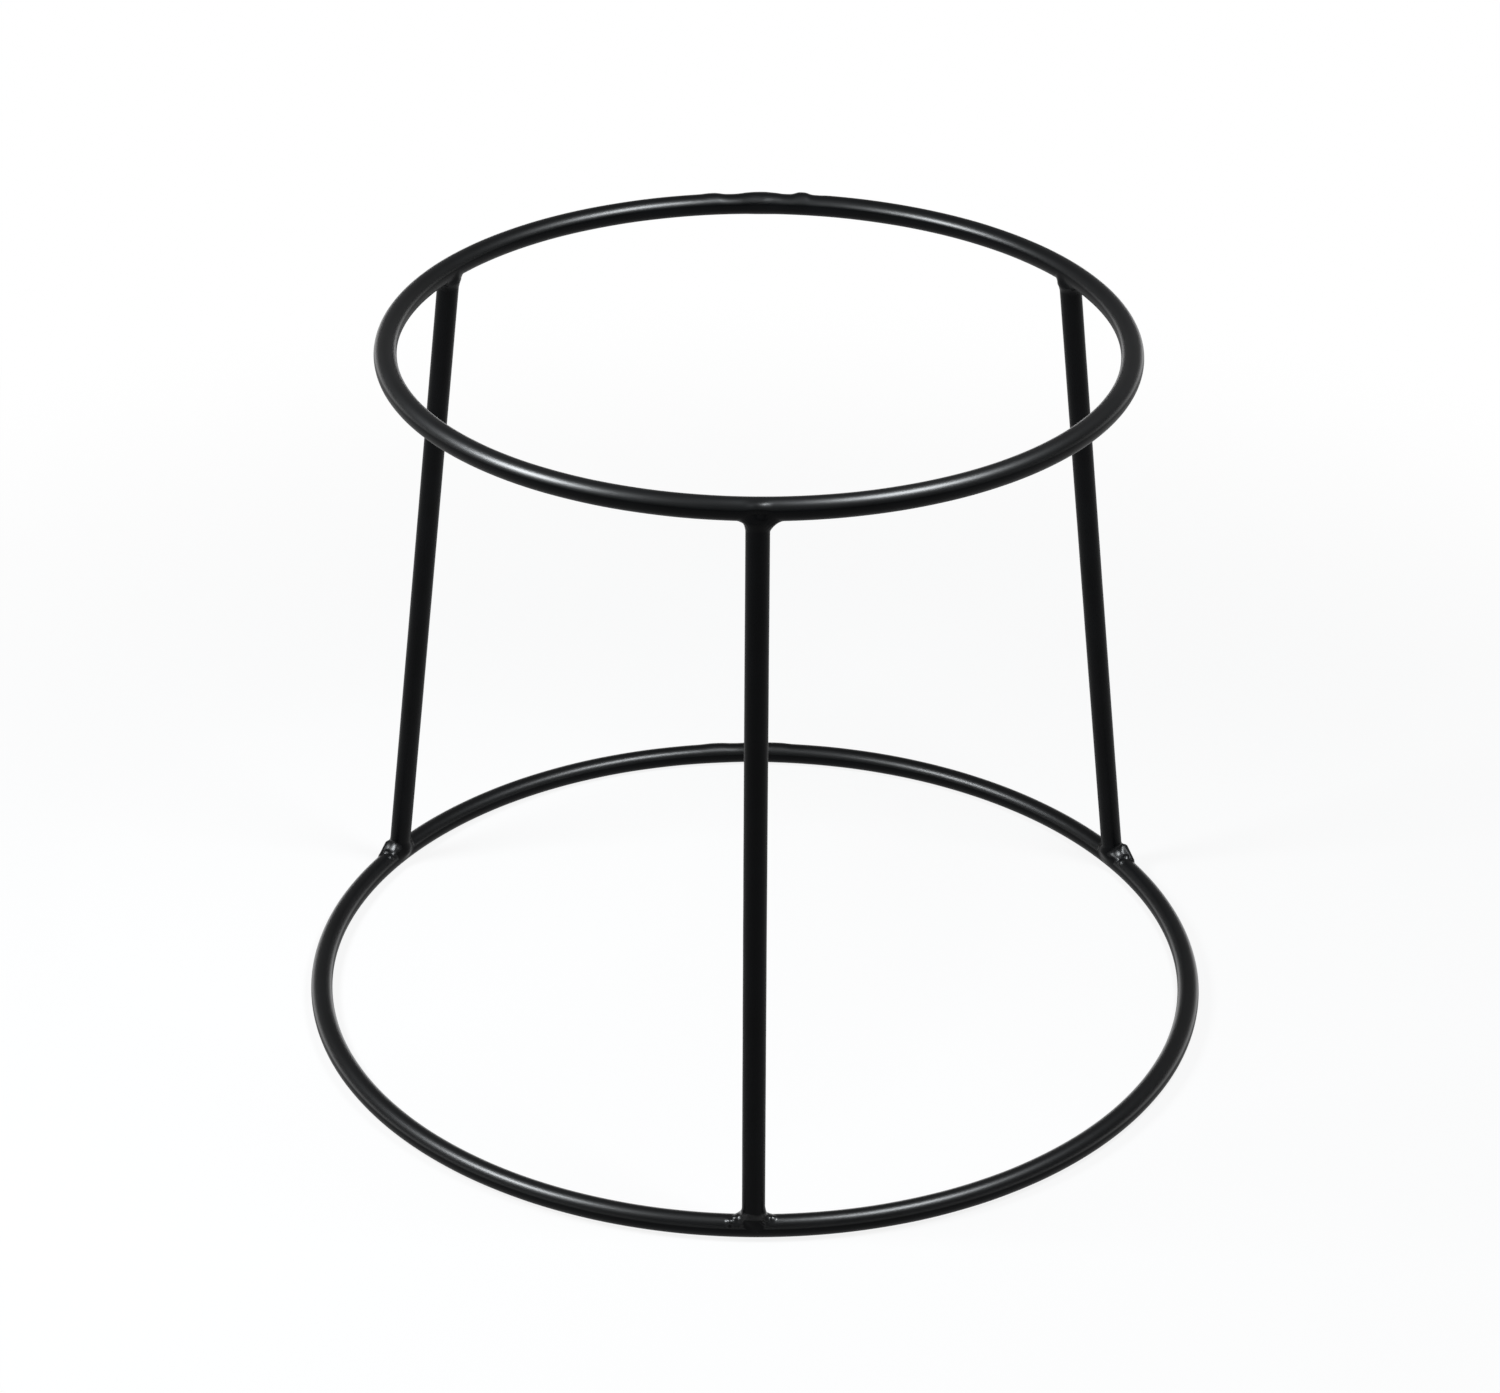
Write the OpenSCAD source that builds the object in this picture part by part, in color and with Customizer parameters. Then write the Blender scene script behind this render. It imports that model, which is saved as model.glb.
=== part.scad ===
// Single plant stand: two round-rod rings, a narrow one on top and a wide one on the floor,
// joined by three straight legs that lean inwards as they rise.
// The origin is on the floor under the middle of the base ring, with +Z up and one leg facing -Y.

/* [Rod] */
// Diameter of the solid round rod that every ring and leg is made of
rod_d = 9; // [5:0.5:12]

/* [Stand] */
// Outside diameter of the top ring, which the pot sits in
top_ring_od = 300; // [200:1:420]
// Outside diameter of the base ring, which stands on the floor
base_ring_od = 376; // [240:1:500]
// Height from the floor to the crown of the top ring
stand_h = 298; // [120:1:600]

/* [Leg welds] */
// Gap that the weld fills between the sheared end of a leg and the crown of a ring
root_gap = 0.4; // [0.2:0.1:0.8]
// Radius of the hollow fillet that each weld leaves in the corner between leg and ring
fillet_r = 5; // [3:0.5:8]
// How far a leg weld stands proud of the rods on the side that faces into the stand
inner_crown = 1.1; // [0.5:0.1:1.6]
// How far a leg weld stands proud of the rods on the side that faces out of the stand
outer_crown = 0.5; // [0.3:0.1:1]

/* [Ring closing welds] */
// Gap that the weld fills between the two sheared ends of a ring's rod
closing_gap = 0.8; // [0.4:0.1:1.6]
// Length of a closing bead along the ring
closing_bead_l = 18; // [10:0.5:24]
// How far a closing bead stands proud of the ring's rod
closing_crown = 0.8; // [0.4:0.1:1.2]

/* [Hidden] */
rod_r = rod_d / 2;
top_ring_r = top_ring_od / 2 - rod_r;
base_ring_r = base_ring_od / 2 - rod_r;
top_ring_z = stand_h - rod_r;
base_ring_z = rod_r;

// A leg's axis runs from the middle of the base ring's rod to the middle of the top ring's rod.
leg_run = base_ring_r - top_ring_r;
leg_rise = top_ring_z - base_ring_z;
leg_lean = atan2(leg_run, leg_rise);
leg_span = norm([leg_run, leg_rise]);
leg_end_inset = rod_r + root_gap;
leg_l = leg_span - 2 * leg_end_inset;

// Directions of the three legs round the stand, and of the joint in each ring's rod
front_az = -90;
rear_right_az = 30;
rear_left_az = 150;
closing_az = 90;

// Where a weld's face meets a rod it runs this deep below the surface, so its toe is a clean edge.
toe_bite = 0.15;

// The hollow fillets are cut into a leg weld by an arc about this point, beside and above the corner.
fillet_centre = rod_r + fillet_r - toe_bite;
fillet_drop = fillet_r - toe_bite;
fillet_toe = fillet_centre - sqrt(fillet_r * fillet_r - fillet_drop * fillet_drop);

// A leg weld's bead lies along the ring like a spindle whose tips close just inside the fillets' toes.
// Its axis is raised this share of the rod's radius above the ring's middle line.
bead_rise_share = 0.75;
bead_tip_back = 0.3;
bead_rise = bead_rise_share * rod_r;
bead_half_l = fillet_toe - bead_tip_back;
bead_belly_r = rod_r + (inner_crown + outer_crown) / 2;
bead_shift = (outer_crown - inner_crown) / 2;
bead_tip_r = rod_r - bead_rise;
bead_arc_r = arc_through(bead_half_l, bead_belly_r - bead_tip_r);

closing_belly_r = rod_r + closing_crown;
closing_arc_r = arc_through(closing_bead_l / 2, closing_crown + toe_bite);

coat = [0.035, 0.037, 0.04];
bead_coat = [0.06, 0.063, 0.068];

// Anything taller or wider than this is cut away by something smaller.
ample = 4 * (rod_d + fillet_r);

round_fn = 96;
ring_fn = 192;

// Radius of the arc that drops by the given swell over the given half length
function arc_through(half_l, swell) = (half_l * half_l + swell * swell) / (2 * swell);

// A full round ring of rod, lying level at its own height
module hoop(ring_r, ring_z) {
    translate([0, 0, ring_z])
        rotate_extrude($fn = ring_fn)
            translate([ring_r, 0])
                circle(r = rod_r, $fn = round_fn);
}

// The same ring turned half round, so that it starts and ends on the side away from +X
module turned_hoop(ring_r, ring_z) {
    rotate([0, 0, 180])
        hoop(ring_r, ring_z);
}

// Carries its children to the closing joint, with +Y along the ring's rod
module at_closing_joint(ring_r, ring_z) {
    rotate([0, 0, closing_az])
        translate([ring_r, 0, ring_z])
            children();
}

// A ring as it is bent: one rod whose two sheared ends stop short of each other
module ring_rod(ring_r, ring_z) {
    difference() {
        hoop(ring_r, ring_z);
        at_closing_joint(ring_r, ring_z)
            cube([ample, closing_gap, ample], center = true);
    }
}

// One straight leg in the XZ plane, sheared square at both ends
module leg_rod() {
    translate([base_ring_r, 0, base_ring_z])
        rotate([0, -leg_lean, 0])
            translate([0, 0, leg_end_inset])
                cylinder(r = rod_r, h = leg_l, $fn = round_fn);
}

// Carries its children to the foot of that leg: +Z runs up the leg, +X outwards, Y along the ring
module at_foot() {
    translate([base_ring_r, 0, base_ring_z])
        rotate([0, -leg_lean, 0])
            children();
}

// Carries its children to the head of that leg: +Z runs down the leg, +X outwards, Y along the ring
module at_head() {
    translate([top_ring_r, 0, top_ring_z])
        rotate([0, -leg_lean, 0])
            rotate([180, 0, 0])
                children();
}

// A collar round the foot of a leg that flares out to the ring in a hollow curve
module fillet_flare() {
    rotate_extrude($fn = round_fn)
        difference() {
            translate([0, -rod_r])
                square([fillet_centre, fillet_centre + rod_r]);
            translate([fillet_centre, fillet_centre])
                circle(r = fillet_r, $fn = round_fn);
        }
}

// A spindle that lies along Y: fattest in the middle, with arcs running down to its two tips
module spindle(belly_r, arc_r) {
    rotate([-90, 0, 0])
        rotate_extrude($fn = round_fn)
            intersection() {
                translate([belly_r - arc_r, 0])
                    circle(r = arc_r, $fn = ring_fn);
                translate([0, -ample])
                    square([ample, 2 * ample]);
            }
}

// The outer form of a leg weld: a spindle along the ring with a hollow fillet on each side of the leg
module leg_weld_form() {
    intersection() {
        fillet_flare();
        translate([bead_shift, 0, bead_rise])
            spindle(bead_belly_r, bead_arc_r);
    }
}

// The weld metal at the head of that leg: it fills the root gap, the wedges beside it and the corner
module head_weld() {
    difference() {
        at_head()
            leg_weld_form();
        turned_hoop(top_ring_r, top_ring_z);
        leg_rod();
    }
}

// The weld metal at the foot of that leg, formed as at the head
module foot_weld() {
    difference() {
        at_foot()
            leg_weld_form();
        turned_hoop(base_ring_r, base_ring_z);
        leg_rod();
    }
}

// The bead that closes a ring: a disc between the rod's two ends with a low crown all round
module closing_weld(ring_r, ring_z) {
    color(bead_coat)
        difference() {
            at_closing_joint(ring_r, ring_z)
                spindle(closing_belly_r, closing_arc_r);
            ring_rod(ring_r, ring_z);
        }
}

module top_ring() {
    color(coat)
        ring_rod(top_ring_r, top_ring_z);
}

module base_ring() {
    color(coat)
        ring_rod(base_ring_r, base_ring_z);
}

module front_leg() {
    color(coat)
        rotate([0, 0, front_az])
            leg_rod();
}

module rear_right_leg() {
    color(coat)
        rotate([0, 0, rear_right_az])
            leg_rod();
}

module rear_left_leg() {
    color(coat)
        rotate([0, 0, rear_left_az])
            leg_rod();
}

module front_top_weld() {
    color(bead_coat)
        rotate([0, 0, front_az])
            head_weld();
}

module rear_right_top_weld() {
    color(bead_coat)
        rotate([0, 0, rear_right_az])
            head_weld();
}

module rear_left_top_weld() {
    color(bead_coat)
        rotate([0, 0, rear_left_az])
            head_weld();
}

module front_base_weld() {
    color(bead_coat)
        rotate([0, 0, front_az])
            foot_weld();
}

module rear_right_base_weld() {
    color(bead_coat)
        rotate([0, 0, rear_right_az])
            foot_weld();
}

module rear_left_base_weld() {
    color(bead_coat)
        rotate([0, 0, rear_left_az])
            foot_weld();
}

module top_ring_closing_weld() {
    closing_weld(top_ring_r, top_ring_z);
}

// Ground off level with the underside of the ring, so that the stand doesn't rock on it
module base_ring_closing_weld() {
    color(bead_coat)
        intersection() {
            closing_weld(base_ring_r, base_ring_z);
            translate([-base_ring_od, -base_ring_od, 0])
                cube([2 * base_ring_od, 2 * base_ring_od, ample]);
        }
}

top_ring();
base_ring();
front_leg();
rear_right_leg();
rear_left_leg();
front_top_weld();
rear_right_top_weld();
rear_left_top_weld();
front_base_weld();
rear_right_base_weld();
rear_left_base_weld();
top_ring_closing_weld();
base_ring_closing_weld();
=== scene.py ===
"""Dresses the packed plant stand as a welded thing of round rod with a black powder coat.

The rods, the leg welds and the closing beads of the rings are built here as smooth skins round the
CAD frame, and stand on a plain pale floor under two soft lamps. The pieces are worked out in
millimetres and become metres when their meshes are made.
"""

import math

import bpy
import numpy as np
from mathutils import Matrix, Vector


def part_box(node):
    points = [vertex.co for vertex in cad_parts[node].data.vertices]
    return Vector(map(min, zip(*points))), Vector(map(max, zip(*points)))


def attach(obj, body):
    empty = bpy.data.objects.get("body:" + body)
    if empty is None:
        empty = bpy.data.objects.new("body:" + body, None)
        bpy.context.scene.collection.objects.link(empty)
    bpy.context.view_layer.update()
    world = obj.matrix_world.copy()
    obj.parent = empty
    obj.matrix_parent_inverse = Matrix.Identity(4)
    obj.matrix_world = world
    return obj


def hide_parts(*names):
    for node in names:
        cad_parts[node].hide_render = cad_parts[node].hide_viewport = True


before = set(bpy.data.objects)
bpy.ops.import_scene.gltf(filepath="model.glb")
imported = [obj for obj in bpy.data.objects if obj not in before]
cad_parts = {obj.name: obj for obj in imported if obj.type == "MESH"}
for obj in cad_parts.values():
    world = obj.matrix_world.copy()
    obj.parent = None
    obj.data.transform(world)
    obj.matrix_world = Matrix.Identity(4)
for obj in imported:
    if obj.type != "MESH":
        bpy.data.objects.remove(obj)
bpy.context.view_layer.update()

bl_info = {
    "name": "Round-rod plant stand",
    "version": (1, 0, 0),
    "blender": (4, 5, 0),
    "location": "3D View > Sidebar > Plant Stand",
    "description": "Builds the coated rods and welds of a plant stand round its packed frame",
    "category": "Object",
}

MM = 0.001
BODY = "root"
TURN = 2 * math.pi


# ---------------------------------------------------------------- sizes read from the frame


def box_mm(node):
    """Lowest and highest corner of a CAD node in millimetres."""
    low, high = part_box(node)
    return np.array(low) / MM, np.array(high) / MM


TOP_LOW, TOP_HIGH = box_mm("top_ring")
BASE_HIGH = box_mm("base_ring")[1]
ROD_D = round(TOP_HIGH[2] - TOP_LOW[2], 1)
TOP_RING_D = round(2 * TOP_HIGH[0], 1)
BASE_RING_D = round(2 * BASE_HIGH[0], 1)
STAND_H = round(TOP_HIGH[2], 1)

# Directions of the legs round the stand, and of the joint in each ring's rod, in degrees
LEGS = {"front": -90.0, "rear_right": 30.0, "rear_left": 150.0}
JOINT_AZ = 90.0


# ---------------------------------------------------------------- what a user may change


def length(name, description, default, low, high):
    """A length that is given here in millimetres and kept in metres."""
    return bpy.props.FloatProperty(
        name=name,
        description=description,
        default=default * MM,
        min=low * MM,
        max=high * MM,
        subtype="DISTANCE",
        unit="LENGTH",
        precision=5,
    )


def colour(name, description, default):
    """A plain colour."""
    return bpy.props.FloatVectorProperty(
        name=name,
        description=description,
        default=default,
        size=3,
        min=0.0,
        max=1.0,
        subtype="COLOR",
    )


def share(name, description, default):
    """An amount between none and all."""
    return bpy.props.FloatProperty(
        name=name, description=description, default=default, min=0.0, max=1.0, subtype="FACTOR"
    )


def power(name, description, default):
    """The power of a lamp in watts."""
    return bpy.props.FloatProperty(
        name=name, description=description, default=default, min=0, subtype="POWER", unit="POWER"
    )


class StandRodSizes(bpy.types.PropertyGroup):
    """Rods"""

    rod_d: length("Rod diameter", "Diameter of the rod of every ring and leg", ROD_D, 5, 12)
    top_ring_d: length("Top ring", "Outside diameter of the top ring", TOP_RING_D, 200, 420)
    base_ring_d: length("Base ring", "Outside diameter of the base ring", BASE_RING_D, 240, 500)
    stand_h: length("Height", "Height to the crown of the top ring", STAND_H, 120, 600)
    leg_bow: length("Leg bow", "How far a leg strays from straight at its middle", 0.12, 0, 2)
    coat_swell: length("Coat swell", "Slow rise and fall of the coat along a rod", 0.02, 0, 0.2)
    joint_peak: length(
        "Joint peak", "How far the base ring's unrolled ends stand out at its joint", 0.3, 0, 1
    )


class StandWeldSizes(bpy.types.PropertyGroup):
    """Welds"""

    root_gap: length("Root gap", "Gap between a leg's end and a ring's crown", 0.4, 0.2, 0.8)
    fillet_r: length("Fillet radius", "Radius of the hollow beside a leg", 5, 3, 8)
    inner_crown: length("Inner crown", "Rise of a leg weld on the stand's inside", 0.75, 0.5, 1.6)
    outer_crown: length("Outer crown", "Rise of a leg weld on the stand's outside", 0.45, 0.3, 1)
    ripple_pitch: length("Ripple pitch", "Distance from one weld ripple to the next", 1.15, 0.4, 3)
    ripple_height: length("Ripple height", "Height of a weld ripple", 0.06, 0, 0.3)
    closing_gap: length("Closing gap", "Gap between the two ends of a ring", 0.8, 0.4, 1.6)
    closing_l: length("Closing bead", "Length of the bead that closes a ring", 18, 10, 24)
    closing_crown: length("Closing crown", "Rise of the bead that closes a ring", 0.36, 0.2, 1.2)
    coat_fill: length("Coat fill", "Reach of the coat that rounds a weld's toe", 1.3, 0.1, 2)


class StandCoatLook(bpy.types.PropertyGroup):
    """Powder coat"""

    black: colour("Coat", "Colour of the powder coat", (0.0016, 0.0018, 0.0021))
    thin_black: colour("Thin coat", "Colour where the coat is thinner", (0.0030, 0.0033, 0.0039))
    scuffed: colour("Scuffed coat", "Colour where the coat has rubbed", (0.030, 0.031, 0.033))
    rod_roughness: share("Rod roughness", "Roughness of the coat on the rods", 0.40)
    weld_roughness: share("Weld roughness", "Roughness of the coat on the welds", 0.34)
    shine: share("Shine", "Specular level of the coat", 0.06)
    flow: share("Flow", "Strength of the glossier skin on faces that look up", 1.0)
    flow_roughness: share("Flow roughness", "Roughness of that glossier skin", 0.35)
    peel_size: length("Peel size", "Width of the coat's orange peel", 1.6, 0.3, 6)
    peel_depth: length("Peel depth", "Depth of the coat's orange peel", 0.005, 0, 0.05)
    grit_size: length("Grit size", "Width of the coat's fine grit", 0.22, 0.05, 1)
    grit_depth: length("Grit depth", "Depth of the coat's fine grit", 0.0004, 0, 0.01)


class StandStageLook(bpy.types.PropertyGroup):
    """Floor and lamps"""

    floor_colour: colour("Floor", "Colour of the floor", (0.97, 0.97, 0.97))
    floor_shadow: share("Floor shadow", "How strongly the floor shows the stand's shadow", 0.13)
    lamp_colour: colour("Lamps", "Colour of the two lamps", (0.93, 0.97, 1.0))
    left_lamp: power("Left lamp", "Power of the left lamp", 5.7)
    right_lamp: power("Right lamp", "Power of the right lamp", 4.8)
    lamp_d: length("Lamp width", "Diameter of each lamp", 290, 50, 900)
    backdrop: share("Backdrop", "Brightness of the backdrop behind the stand", 0.09)
    ceiling: share("Ceiling", "Brightness of the rest of the room", 0.04)


# ---------------------------------------------------------------- forms, in millimetres

# When a skin is settled: the least squared slope and the least move that are divided by, and the
# shares of a grid's step over which the slope is measured and by which a point moves at most
LEAST_STEEP, LEAST_MOVE = 0.05, 1e-9
PROBE_SHARE, STRIDE_SHARE = 0.25, 0.5


def unit(vector):
    """The same direction with a length of 1."""
    return vector / np.linalg.norm(vector, axis=-1, keepdims=True)


def soft_noise(seed, wavelength, waves=12):
    """A smooth field over space that swings between about -1 and 1 at the given wavelength."""
    draw = np.random.default_rng(seed)
    headings = unit(draw.normal(size=(waves, 3))) * TURN / wavelength
    phases = draw.uniform(0, TURN, waves)
    level = math.sqrt(2 / waves)

    def field(points):
        return np.sin(points @ headings.T + phases).sum(-1) * level

    return field


def blend_low(a, b, reach):
    """The lower of two depths, with a hollow curve of the given reach where they meet."""
    part = np.clip(0.5 + 0.5 * (b - a) / reach, 0, 1)
    return b + (a - b) * part - reach * part * (1 - part)


def blend_high(a, b, reach):
    """The higher of two depths, with a rounded ridge of the given reach where they meet."""
    return -blend_low(-a, -b, reach)


def ease(value, low, high):
    """A soft step from 0 to 1 between two values."""
    part = np.clip((value - low) / (high - low), 0, 1)
    return part * part * (3 - 2 * part)


def arc_through(half_l, swell):
    """Radius of the arc that drops by the given swell over the given half length."""
    return (half_l**2 + swell**2) / (2 * swell)


def skin_of(depth, low, high, step):
    """Quad skin of the space where depth is below 0, from a grid of the given step."""
    lines = [np.arange(low[k], high[k] + step, step) for k in range(3)]
    grid = np.stack(np.meshgrid(*lines, indexing="ij"), -1)
    value = depth(grid.reshape(-1, 3)).reshape(grid.shape[:3])
    inside = value < 0
    cells = tuple(n - 1 for n in value.shape)
    total = np.zeros(cells + (3,))
    count = np.zeros(cells, int)
    crossings = []
    for axis in range(3):
        near = [slice(None)] * 3
        far = [slice(None)] * 3
        near[axis], far[axis] = slice(0, -1), slice(1, None)
        a, b = value[tuple(near)], value[tuple(far)]
        crossed = inside[tuple(near)] != inside[tuple(far)]
        with np.errstate(divide="ignore", invalid="ignore"):
            part = np.where(crossed, a / (a - b), 0)
        place = grid[tuple(near)].copy()
        place[..., axis] += part * step
        place *= crossed[..., None]
        crossings.append((crossed, inside[tuple(near)]))
        others = [k for k in range(3) if k != axis]
        for shift_a in (0, 1):
            for shift_b in (0, 1):
                pick = [slice(None)] * 3
                pick[others[0]] = slice(shift_a, shift_a + cells[others[0]])
                pick[others[1]] = slice(shift_b, shift_b + cells[others[1]])
                total += place[tuple(pick)]
                count += crossed[tuple(pick)]
    active = count > 0
    number = np.full(cells, -1)
    number[active] = np.arange(active.sum())
    points = total[active] / count[active][:, None]
    quads = []
    for axis, (crossed, starts_inside) in enumerate(crossings):
        u, v = (axis + 1) % 3, (axis + 2) % 3
        inner = [slice(None)] * 3
        inner[u], inner[v] = slice(1, -1), slice(1, -1)
        where = np.argwhere(crossed[tuple(inner)])
        where[:, u] += 1
        where[:, v] += 1
        corners = []
        for back_u, back_v in ((1, 1), (0, 1), (0, 0), (1, 0)):
            cell = where.copy()
            cell[:, u] -= back_u
            cell[:, v] -= back_v
            corners.append(number[cell[:, 0], cell[:, 1], cell[:, 2]])
        faces = np.stack(corners, -1)
        flip = ~starts_inside[where[:, 0], where[:, 1], where[:, 2]]
        faces[flip] = faces[flip][:, ::-1]
        quads.append(faces)
    return points, np.concatenate(quads)


def settle(points, depth, step, rounds=4):
    """Moves skin points onto the surface where depth is 0."""
    reach = PROBE_SHARE * step
    shifts = np.eye(3) * reach
    for _ in range(rounds):
        slope = np.stack(
            [(depth(points + s) - depth(points - s)) / (2 * reach) for s in shifts], -1
        )
        steep = np.maximum((slope**2).sum(-1), LEAST_STEEP)
        move = -(depth(points) / steep)[:, None] * slope
        far = np.linalg.norm(move, axis=-1, keepdims=True)
        points = points + move * np.minimum(1, STRIDE_SHARE * step / np.maximum(far, LEAST_MOVE))
    return points


def piece(name, points, faces, material, slot, *nodes):
    """Makes a smooth-shaded mesh of points in millimetres and puts it in the place of CAD nodes."""
    mesh = bpy.data.meshes.new(name)
    mesh.from_pydata((np.asarray(points) * MM).tolist(), [], [list(map(int, f)) for f in faces])
    mesh.polygons.foreach_set("use_smooth", [True] * len(mesh.polygons))
    mesh.materials.append(material)
    mesh.update()
    if mesh.validate():
        raise RuntimeError(f"{name} has faces that aren't sound")
    made = bpy.data.objects.new(name, mesh)
    bpy.context.scene.collection.objects.link(made)
    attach(made, BODY)
    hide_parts(*nodes)


# ---------------------------------------------------------------- the stand's layout, in millimetres

# Distance from its joint within which the base ring stands out from its circle
PEAK_REACH = 22.0


class Layout:
    """Where the rods run, worked out from the sizes."""

    def __init__(self, scene):
        rod, weld = scene.stand_rod, scene.stand_weld
        self.rod_r = rod.rod_d / MM / 2
        self.top = (rod.top_ring_d / MM / 2 - self.rod_r, rod.stand_h / MM - self.rod_r)
        self.base = (rod.base_ring_d / MM / 2 - self.rod_r, self.rod_r)
        run, rise = self.base[0] - self.top[0], self.top[1] - self.base[1]
        self.lean = math.atan2(run, rise)
        self.span = math.hypot(run, rise)
        self.inset = self.rod_r + weld.root_gap / MM
        self.bow = rod.leg_bow / MM
        self.swell = rod.coat_swell / MM
        self.peak = rod.joint_peak / MM

    def leg_axes(self, azimuth):
        """The foot's middle on the base ring, and the axes outwards, along the ring and up the leg."""
        a = math.radians(azimuth)
        radial = np.array([math.cos(a), math.sin(a), 0])
        along = np.array([-math.sin(a), math.cos(a), 0])
        up = np.array([0, 0, 1.0])
        outward = math.cos(self.lean) * radial + math.sin(self.lean) * up
        climb = -math.sin(self.lean) * radial + math.cos(self.lean) * up
        foot = radial * self.base[0] + up * self.base[1]
        return foot, outward, along, climb

    def peak_at(self, ring, along):
        """How far a ring's middle line stands out from its circle, by distance from the joint."""
        if ring is self.base:
            return self.peak * np.clip(1 - np.abs(along) / PEAK_REACH, 0, 1) ** 2
        return np.zeros_like(along)

    def ring_place(self, ring, points):
        """For points: distance from the ring's middle line, distance along it from its joint, and
        the angle round its rod, 0 outwards and a quarter turn upwards."""
        ring_r, ring_z = ring
        azimuth = np.arctan2(points[:, 1], points[:, 0]) - math.radians(JOINT_AZ)
        azimuth = (azimuth + math.pi) % TURN - math.pi
        along = azimuth * ring_r
        out = np.hypot(points[:, 0], points[:, 1]) - ring_r - self.peak_at(ring, along)
        high = points[:, 2] - ring_z
        return np.hypot(out, high), along, np.arctan2(high, out)


# ---------------------------------------------------------------- rods

ROD_SIDES = 56
ROD_TURNS = np.linspace(0, TURN, ROD_SIDES, endpoint=False)

# Distances between stations along a ring, and how far from the joint the short ones are kept
FINE_STEP, COARSE_STEP = 0.4, 1.6
FINE_REACH = 28.0
LEG_STEP = 2.0

# How far a rod's skin lies inside the frame's outline at its fullest
SKIN_INSET = 0.02

# The round of a sheared end: share of the rod's radius, and millimetres beyond the last station
END_ROUND = ((0.985, -0.05), (0.94, 0.0), (0.5, 0.02), (0.12, 0.03))

# Wavelengths of the coat's swell, and what is added to a leg's seed to draw it
RING_SWELL_WAVE, LEG_SWELL_WAVE = 26.0, 24.0
LEG_SWELL_SEED = 50

# Spots on the rings, as distance along the ring from its joint, half length, direction round the
# rod, half width as an angle, and height. They are drops of weld metal under the coat beside the
# joints, and ground hollows as negative heights.
TOP_RING_DROPS = (
    (-17.7, 2.9, math.radians(62), math.radians(58), 0.66),
    (20.2, 3.6, math.radians(60), math.radians(60), 0.26),
    (12.0, 4.6, math.radians(60), math.radians(75), -0.42),
    (-11.2, 3.2, math.radians(60), math.radians(75), -0.34),
    (-24.0, 3.2, math.radians(60), math.radians(75), -0.18),
)
BASE_RING_DROPS = (
    (18.7, 5.5, math.radians(60), math.radians(60), 0.32),
    (-9.5, 5.0, math.radians(60), math.radians(60), 0.32),
)
# Swelling of the top ring's face over the front leg, opposite its joint: the same without a place
FRONT_SWELL = (3.0, math.radians(32), math.radians(28), 0.7)
# The higher, the flatter a spot is on top and the steeper at its edge
SPOT_EDGE = 3


def rays_round(across, up):
    """Directions square to a rod: one for each station along it and each of its sides."""
    turned = ROD_TURNS[None, :, None]
    return across[:, None] * np.cos(turned) + up[:, None] * np.sin(turned)


def coated_radius(plan, spine, across, up, seed, wavelength):
    """A rod's radius at each point of its skin, where the coat slowly rises and falls."""
    skin = spine[:, None] + plan.rod_r * rays_round(across, up)
    swell = soft_noise(seed, wavelength)(skin.reshape(-1, 3)).reshape(skin.shape[:2])
    return plan.rod_r - SKIN_INSET - plan.swell * (0.5 + 0.5 * np.clip(swell, -1, 1))


def rod_skin(spine, across, up, radius):
    """Points and faces of a rod's skin along its spine, with sheared ends that have a small round."""
    stations, sides = radius.shape
    around = rays_round(across, up)
    body = spine[:, None] + around * radius[..., None]

    def sheared(at, outwards):
        heading = unit(spine[at] - spine[at - outwards])
        return [
            spine[at] + heading * beyond + around[at] * (radius[at] * narrow)[:, None]
            for narrow, beyond in END_ROUND
        ]

    first_end, last_end = sheared(0, -1), sheared(stations - 1, 1)
    rows = np.concatenate([np.stack(first_end[::-1]), body[1:-1], np.stack(last_end)])
    points = rows.reshape(-1, 3)
    side = np.arange(sides)
    after = (side + 1) % sides
    row = np.arange(len(rows) - 1)[:, None] * sides
    quads = np.stack([row + side, row + after, row + after + sides, row + side + sides], -1)
    quads = quads.reshape(-1, 4)
    low_tip, high_tip = len(points), len(points) + 1
    tips = np.stack([points[:sides].mean(0), points[-sides:].mean(0)])
    last = (len(rows) - 1) * sides
    fans = [(low_tip, int(b), int(a)) for a, b in zip(side, after)]
    fans += [(high_tip, int(last + a), int(last + b)) for a, b in zip(side, after)]
    if np.cross(across[0], up[0]) @ (spine[1] - spine[0]) < 0:
        quads = quads[:, ::-1]
        fans = [fan[::-1] for fan in fans]
    return np.concatenate([points, tips]), quads.tolist() + fans


def near_joint_stations(around, gap):
    """Distances along a ring from one sheared end to the other, close together near the joint."""
    fine = np.arange(gap / 2, FINE_REACH, FINE_STEP)
    far = around - 2 * fine[-1]
    coarse = fine[-1] + np.linspace(0, far, round(far / COARSE_STEP))[1:-1]
    return np.concatenate([fine, coarse, (around - fine)[::-1]])


def raised_spot(along, turned, spot):
    """Height of a round-edged spot on a ring, at places along it and round its rod."""
    at, long_by, face, wide_by, high = spot
    off = (turned - face + math.pi) % TURN - math.pi
    fall = np.abs((along - at) / long_by) ** SPOT_EDGE + np.abs(off / wide_by) ** SPOT_EDGE
    return high * np.exp(-fall)


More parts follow.
